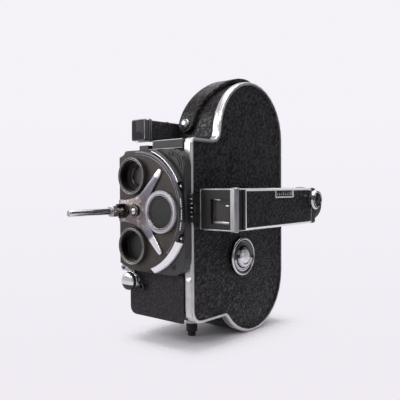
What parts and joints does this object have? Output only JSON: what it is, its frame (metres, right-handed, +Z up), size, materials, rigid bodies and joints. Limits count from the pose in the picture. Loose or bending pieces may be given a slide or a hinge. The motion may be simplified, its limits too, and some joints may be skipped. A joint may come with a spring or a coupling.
{
  "type": "spring-driven cine camera",
  "caption": "Vintage spring-wound cine camera: double-humped leathered film chamber, turning lens turret with a folding lever, side finder, top focuser and strap.",
  "frame": {"origin": "middle of the base of the camera's box", "axes": "+Z up, -Y out of the lens turret, +X out of the film door"},
  "size_m": [0.1362, 0.2038, 0.2203],
  "materials": {
    "black_enamel": "satin black",
    "brass": "satin",
    "cast_alloy": "satin",
    "chrome": "polished",
    "hard_rubber": "matt",
    "leatherette": "pebbled",
    "optical_glass": "clear",
    "satin_nickel": "satin",
    "steel": "satin",
    "strap_leather": "smooth",
    "turret_bronze": "satin"
  },
  "bodies": {
    "camera": {"cable_socket": "chrome", "case_leather": "leatherette", "crank_side_leather": "leatherette", "film_chamber_case": "cast_alloy", "film_gate": "steel", "focuser_collar": "chrome", "focuser_eyepiece": "hard_rubber", "focuser_head": "black_enamel", "focuser_rail": "black_enamel", "focuser_tube": "leatherette", "focuser_window": "black_enamel", "front_foot": "hard_rubber", "front_leather": "leatherette", "front_plate": "black_enamel", "front_stud": "chrome", "handle_strap": "strap_leather", "lower_guard": "chrome", "motor_case": "black_enamel", "motor_foot": "hard_rubber", "rear_stud": "chrome", "top_strip_leather": "leatherette", "tripod_boss": "satin_nickel", "upper_guard": "chrome"},
    "release_button": {"release_button": "chrome"},
    "time_lever": {"time_lever": "chrome"},
    "turret": {"hub_screw": "chrome", "lever_fork": "black_enamel", "lower_port_ring": "turret_bronze", "port_plug": "black_enamel", "taking_port_ring": "chrome", "turret_disc": "turret_bronze", "turret_spider": "satin_nickel", "upper_port_ring": "turret_bronze"},
    "turret_lever": {"turret_lever": "chrome"},
    "shutter": {"shutter": "black_enamel"},
    "lid": {"finder_rest": "black_enamel", "hinge_block": "black_enamel", "lid_leather": "leatherette", "lid_shell": "chrome", "lock_ring": "chrome"},
    "lid_lock": {"lock_knob": "chrome"},
    "finder": {"finder_bezel": "chrome", "finder_eyepiece": "hard_rubber", "finder_housing": "chrome", "finder_leaf": "black_enamel", "finder_leather": "leatherette", "finder_mask": "black_enamel", "finder_pane": "optical_glass", "finder_rear_block": "black_enamel"},
    "finder_wheel": {"finder_wheel": "chrome"},
    "feed_spool": {"feed_spool": "black_enamel"},
    "takeup_spool": {"takeup_spool": "black_enamel"},
    "upper_sprocket": {"upper_sprocket": "steel"},
    "lower_sprocket": {"lower_sprocket": "steel"},
    "pressure_plate": {"pressure_plate": "steel"},
    "mainspring_barrel": {"mainspring_barrel": "brass"},
    "idler_gear": {"idler_gear": "brass"},
    "winding_crank": {"winding_crank": "chrome"},
    "crank_grip": {"crank_grip": "hard_rubber"},
    "speed_dial": {"speed_dial": "chrome"}
  },
  "joints": [
    {"name": "turret_turn", "type": "hinge", "parent": "camera", "child": "turret", "pos_m": [-0.02337, -0.04515, 0.1071], "axis": [0, -1, 0], "continuous": true},
    {"name": "lever_fold", "type": "hinge", "parent": "turret", "child": "turret_lever", "pos_m": [-0.03537, -0.05285, 0.1071], "axis": [-0.5664, 0, 0.8241], "range_deg": [0, 88]},
    {"name": "lid_lift_off", "type": "slide", "parent": "camera", "child": "lid", "axis": [1, 0, 0], "range_m": [0, 0.06]},
    {"name": "lock_turn", "type": "hinge", "parent": "lid", "child": "lid_lock", "pos_m": [0.02423, 0.03065, 0.067], "axis": [1, 0, 0], "range_deg": [0, 90]},
    {"name": "finder_parallax", "type": "hinge", "parent": "lid", "child": "finder", "pos_m": [0.02672, -0.03365, 0.1071], "axis": [0, 0, -1], "range_deg": [0, 5]},
    {"name": "finder_wheel_turn", "type": "hinge", "parent": "finder", "child": "finder_wheel", "pos_m": [0.06352, 0.08285, 0.1143], "axis": [1, 0, 0], "range_deg": [-150, 150]},
    {"name": "release_press", "type": "slide", "parent": "camera", "child": "release_button", "axis": [0, 1, 0], "range_m": [0, 0.003], "stiffness_N_per_m": 150, "springref_m": -0.004},
    {"name": "time_switch", "type": "hinge", "parent": "camera", "child": "time_lever", "pos_m": [-0.03938, -0.03535, 0.0556], "axis": [0, -1, 0], "range_deg": [0, 40]},
    {"name": "crank_wind", "type": "hinge", "parent": "camera", "child": "winding_crank", "pos_m": [-0.04412, 0.05221, 0.09], "axis": [-1, 0, 0], "continuous": true},
    {"name": "crank_grip_spin", "type": "hinge", "parent": "winding_crank", "child": "crank_grip", "pos_m": [-0.05083, 0.02675, 0.06454], "axis": [-1, 0, 0], "continuous": true},
    {"name": "speed_set", "type": "hinge", "parent": "camera", "child": "speed_dial", "pos_m": [-0.04412, -0.00815, 0.058], "axis": [-1, 0, 0], "range_deg": [0, 270]},
    {"name": "pressure_plate_slide", "type": "slide", "parent": "camera", "child": "pressure_plate", "axis": [0, 1, 0], "range_m": [0, 0.004], "stiffness_N_per_m": 100, "springref_m": -0.003},
    {"name": "barrel_turn", "type": "hinge", "parent": "camera", "child": "mainspring_barrel", "pos_m": [-0.02477, 0.05221, 0.09], "axis": [1, 0, 0], "continuous": true},
    {"name": "lower_sprocket_turn", "type": "hinge", "parent": "camera", "child": "lower_sprocket", "pos_m": [0.00462, -0.00015, 0.0861], "axis": [1, 0, 0], "continuous": true},
    {"name": "idler_turn", "type": "hinge", "parent": "camera", "child": "idler_gear", "pos_m": [-0.02477, -0.00015, 0.1071], "axis": [1, 0, 0], "continuous": true},
    {"name": "upper_sprocket_turn", "type": "hinge", "parent": "camera", "child": "upper_sprocket", "pos_m": [0.00462, -0.00015, 0.1281], "axis": [1, 0, 0], "continuous": true},
    {"name": "feed_spool_turn", "type": "hinge", "parent": "camera", "child": "feed_spool", "pos_m": [-0.00477, 0.04765, 0.1683], "axis": [1, 0, 0], "continuous": true},
    {"name": "takeup_spool_turn", "type": "hinge", "parent": "camera", "child": "takeup_spool", "pos_m": [-0.00477, 0.04765, 0.0477], "axis": [1, 0, 0], "continuous": true},
    {"name": "shutter_turn", "type": "hinge", "parent": "camera", "child": "shutter", "pos_m": [-0.00788, -0.03755, 0.092], "axis": [0, 1, 0], "continuous": true}
  ],
  "couplings": [
    {"joint": "lower_sprocket_turn", "follows": "barrel_turn", "ratio": -3.375},
    {"joint": "idler_turn", "follows": "barrel_turn", "ratio": 4.5},
    {"joint": "upper_sprocket_turn", "follows": "barrel_turn", "ratio": -3.375}
  ]
}
